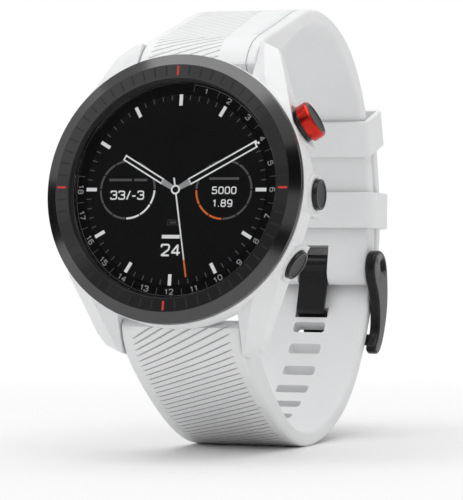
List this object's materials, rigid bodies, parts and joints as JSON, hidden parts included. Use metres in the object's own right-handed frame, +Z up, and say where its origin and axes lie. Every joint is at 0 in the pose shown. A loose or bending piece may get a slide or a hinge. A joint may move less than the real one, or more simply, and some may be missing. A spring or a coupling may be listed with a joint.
{
  "type": "golf gps watch",
  "caption": "Round digital golf watch with a ticked ceramic bezel, side push buttons and a buckled silicone strap with sliding keepers, standing on its strap.",
  "frame": {"origin": "centre of the bounding box, at the surface that the strap stands on", "axes": "+X to the wearer's 3 o'clock and the buttons, +Y from the dial to the buckle, +Z up; the dial faces -Y and leans back 9.8 degrees"},
  "size_m": [0.0482, 0.0858, 0.0792],
  "materials": {
    "white_silicone": "matt",
    "white_polymer": "satin",
    "black_ceramic": "brushed and polished",
    "cover_glass": "polished",
    "display": "gloss",
    "dial_black": "satin print",
    "seal_rubber": "matt",
    "button_black": "fine satin",
    "anodised_red": "anodised",
    "buckle_black": "satin coating",
    "steel": "plain",
    "gold_contact": "plated",
    "sensor_glass": "tinted",
    "circuit_board": "solder mask",
    "sensor_board": "solder mask",
    "shield_metal": "tinned",
    "battery_pouch": "foil",
    "flex_film": "film",
    "frame_plastic": "moulded"
  },
  "bodies": {
    "watch": {"case_body": "white_polymer", "bezel": "black_ceramic", "lens": "cover_glass", "lens_gasket": "seal_rubber", "chapter_ring": "dial_black", "back_cover": "white_polymer", "back_gasket": "seal_rubber", "back_screws": "steel", "sensor_window": "sensor_glass", "lug_pins": "steel", "display_module": "display", "inner_frame": "frame_plastic", "display_flex": "flex_film", "antenna_ring": "shield_metal", "mainboard": "circuit_board", "shield_cans": "shield_metal", "battery": "battery_pouch", "vibration_motor": "shield_metal", "sensor_board": "sensor_board", "charge_port": "frame_plastic", "charge_contacts": "gold_contact", "collar_top": "button_black", "stem_seals": "seal_rubber", "seal_washers": "steel", "button_springs": "steel", "side_switches": "frame_plastic", "strap_tail": "white_silicone", "strap_buckle_half": "white_silicone", "latch_springs": "steel"},
    "push_top": {"button_top": "button_black", "button_top_ring": "anodised_red", "clip_top": "steel"},
    "push_middle": {"button_middle": "button_black", "clip_middle": "steel"},
    "push_bottom": {"button_bottom": "button_black", "clip_bottom": "steel"},
    "release_upper": {"latch_upper": "steel"},
    "release_lower": {"latch_lower": "steel"},
    "loop_upper": {"keeper_upper": "white_silicone"},
    "loop_lower": {"keeper_lower": "white_silicone"},
    "buckle": {"buckle_frame": "buckle_black", "buckle_pin": "steel"},
    "tongue": {"buckle_tongue": "buckle_black"}
  },
  "joints": [
    {"name": "press_top", "type": "slide", "parent": "watch", "child": "push_top", "axis": [-0.866, -0.0851, -0.4927], "range_m": [0, 0.0006], "stiffness_N_per_m": 800},
    {"name": "press_middle", "type": "slide", "parent": "watch", "child": "push_middle", "axis": [-1, 0, 0], "range_m": [0, 0.0006], "stiffness_N_per_m": 800},
    {"name": "press_bottom", "type": "slide", "parent": "watch", "child": "push_bottom", "axis": [-0.866, 0.0851, 0.4927], "range_m": [0, 0.0006], "stiffness_N_per_m": 800},
    {"name": "slide_release_upper", "type": "slide", "parent": "watch", "child": "release_upper", "axis": [0, 0.832, 0.5548], "range_m": [0, 0.002], "stiffness_N_per_m": 500},
    {"name": "slide_release_lower", "type": "slide", "parent": "watch", "child": "release_lower", "axis": [0, 0.5976, -0.8018], "range_m": [0, 0.002], "stiffness_N_per_m": 500},
    {"name": "slide_loop_upper", "type": "slide", "parent": "watch", "child": "loop_upper", "axis": [0, -0.2706, 0.9627], "range_m": [-0.0025, 0.0005]},
    {"name": "slide_loop_lower", "type": "slide", "parent": "watch", "child": "loop_lower", "axis": [0, 0.0401, 0.9992], "range_m": [-0.0025, 0.001]},
    {"name": "buckle_swing", "type": "hinge", "parent": "watch", "child": "buckle", "pos_m": [-0.00063, 0.03515, 0.03198], "axis": [1, 0, 0], "range_deg": [0, 3]},
    {"name": "tongue_swing", "type": "hinge", "parent": "watch", "child": "tongue", "pos_m": [-0.00063, 0.03515, 0.03198], "axis": [1, 0, 0], "range_deg": [0, 3]}
  ],
  "couplings": [
    {"joint": "tongue_swing", "follows": "buckle_swing", "ratio": 1}
  ]
}
